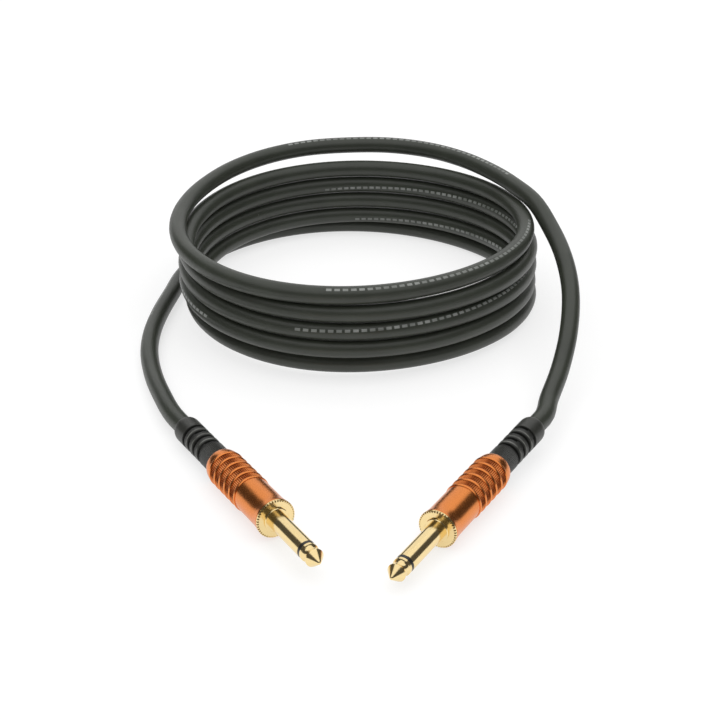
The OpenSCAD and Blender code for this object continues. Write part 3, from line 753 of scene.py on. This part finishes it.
class CABLE_OT_boots(bpy.types.Operator):
    """Finish the slotted strain-relief boots"""

    bl_idname = "cable.finish_boots"
    bl_label = "Boots"

    def execute(self, context):
        colour = tuple(context.scene.cable_plugs.boot)
        for side in SIDES:
            # Soft PVC, moulded: near black, satin, with a fine spark-eroded grain and fine
            # ribs along the plain part. The slots and their flanks are painted darker as
            # shade, and a thin grey highlight is painted along the top of each ring.
            rubber = moulded_plastic(f"moulded_soft_pvc_{side}", colour, 0.42, 1.53,
                                     0.25 * MM, 0.03 * MM,
                                     relief=lambda tree: self.relief(tree, side),
                                     shade=lambda tree: self.painted_hollow_shade(tree, side),
                                     painted_glint=lambda tree: self.painted_crest_glint(tree, side))
            dress([f"{side}_boot"], rubber)
        return {"FINISHED"}

    def from_slot(self, tree, station):
        """How far a station is from the nearest slot: 0 in its middle, and 0.5 midway
        between two slots."""
        turn = calc(tree, "DIVIDE", calc(tree, "SUBTRACT", FIRST_SLOT, station), SLOT_STEP)
        return calc(tree, "PINGPONG", turn, 0.5)

    def relief(self, tree, side):
        """Fine ribs round the part in front of the slots, and the rings between the
        slots rounded up to a narrow crest."""
        station, _, angle = round_axis(tree, plug_place(tree, side))
        wave = calc(tree, "SINE", calc(tree, "MULTIPLY", angle, RIBS_ROUND))
        plain = calc(tree, "GREATER_THAN", station, RIBS_END)
        ribs = calc(tree, "MULTIPLY", calc(tree, "MULTIPLY", wave, plain), 0.12)
        crest = add_node(tree, "ShaderNodeMapRange", {
            "Value": self.from_slot(tree, station), "From Min": 0.15, "From Max": 0.45,
            "To Min": 0.0, "To Max": 0.45}, interpolation_type="SMOOTHSTEP")
        ringed = between(tree, station, FIRST_SLOT - RINGS * SLOT_STEP, FIRST_SLOT)
        return calc(tree, "MULTIPLY_ADD", crest.outputs["Result"], ringed, ribs)

    def painted_hollow_shade(self, tree, side):
        """The share of painted shade: 1 in the slots and on the hollowed flanks beside
        them, 0 on the top of each ring.
        """
        station, _, _ = round_axis(tree, plug_place(tree, side))
        away = add_node(tree, "ShaderNodeMapRange", {
            "Value": self.from_slot(tree, station), "From Min": 0.3, "From Max": 0.42,
            "To Min": 1.0, "To Max": 0.0})
        slotted = between(tree, station, FIRST_SLOT - (RINGS + 0.3) * SLOT_STEP,
                          FIRST_SLOT + 0.3 * SLOT_STEP)
        return calc(tree, "MULTIPLY", away.outputs["Result"], slotted)

    def painted_crest_glint(self, tree, side):
        """The share of a painted highlight: a thin line on the crest of each ring, broken
        up by noise.
        """
        place = plug_place(tree, side)
        station, _, _ = round_axis(tree, place)
        line = add_node(tree, "ShaderNodeMapRange", {
            "Value": self.from_slot(tree, station), "From Min": 0.43, "From Max": 0.49,
            "To Min": 0.0, "To Max": 1.0})
        rub = add_node(tree, "ShaderNodeTexNoise", {
            "Vector": place, "Scale": 350.0, "Detail": 1.0})
        left = add_node(tree, "ShaderNodeMapRange", {
            "Value": rub.outputs["Fac"], "From Min": 0.35, "From Max": 0.6,
            "To Min": 0.2, "To Max": 1.0})
        ringed = between(tree, station, FIRST_SLOT - RINGS * SLOT_STEP, FIRST_SLOT)
        glint_line = calc(tree, "MULTIPLY", line.outputs["Result"], left.outputs["Result"])
        return calc(tree, "MULTIPLY", glint_line, ringed)


class CABLE_PT_panel(bpy.types.Panel):
    """Lists the cable's pieces and settings"""

    bl_idname = "CABLE_PT_panel"
    bl_label = "Instrument cable"
    bl_space_type = "VIEW_3D"
    bl_region_type = "UI"
    bl_category = "Cable"

    def draw(self, context):
        for title, group in (("Cable", context.scene.cable_sizes),
                             ("Plugs", context.scene.cable_plugs),
                             ("Stage", context.scene.cable_stage)):
            box = self.layout.box()
            box.label(text=title)
            for name in group.__annotations__:
                box.prop(group, name)
        for operator in OPERATORS:
            self.layout.operator(operator.bl_idname)


OPERATORS = (CABLE_OT_stage, CABLE_OT_core, CABLE_OT_jacket, CABLE_OT_contacts,
             CABLE_OT_insulators, CABLE_OT_wiring, CABLE_OT_shells, CABLE_OT_boots)
CLASSES = (CableSettings, PlugSettings, StageSettings, *OPERATORS, CABLE_PT_panel)
GROUPS = {"cable_sizes": CableSettings, "cable_plugs": PlugSettings,
          "cable_stage": StageSettings}


def register():
    for cls in CLASSES:
        bpy.utils.register_class(cls)
    for name, group in GROUPS.items():
        setattr(bpy.types.Scene, name, bpy.props.PointerProperty(type=group))


def unregister():
    for name in GROUPS:
        delattr(bpy.types.Scene, name)
    for cls in reversed(CLASSES):
        bpy.utils.unregister_class(cls)


def main():
    register()
    bpy.ops.cable.make_stage()
    bpy.ops.cable.make_core()
    bpy.ops.cable.make_jacket()
    bpy.ops.cable.plate_contacts()
    bpy.ops.cable.colour_insulators()
    bpy.ops.cable.finish_wiring()
    bpy.ops.cable.anodise_shells()
    bpy.ops.cable.finish_boots()


if __name__ == "__main__":
    main()
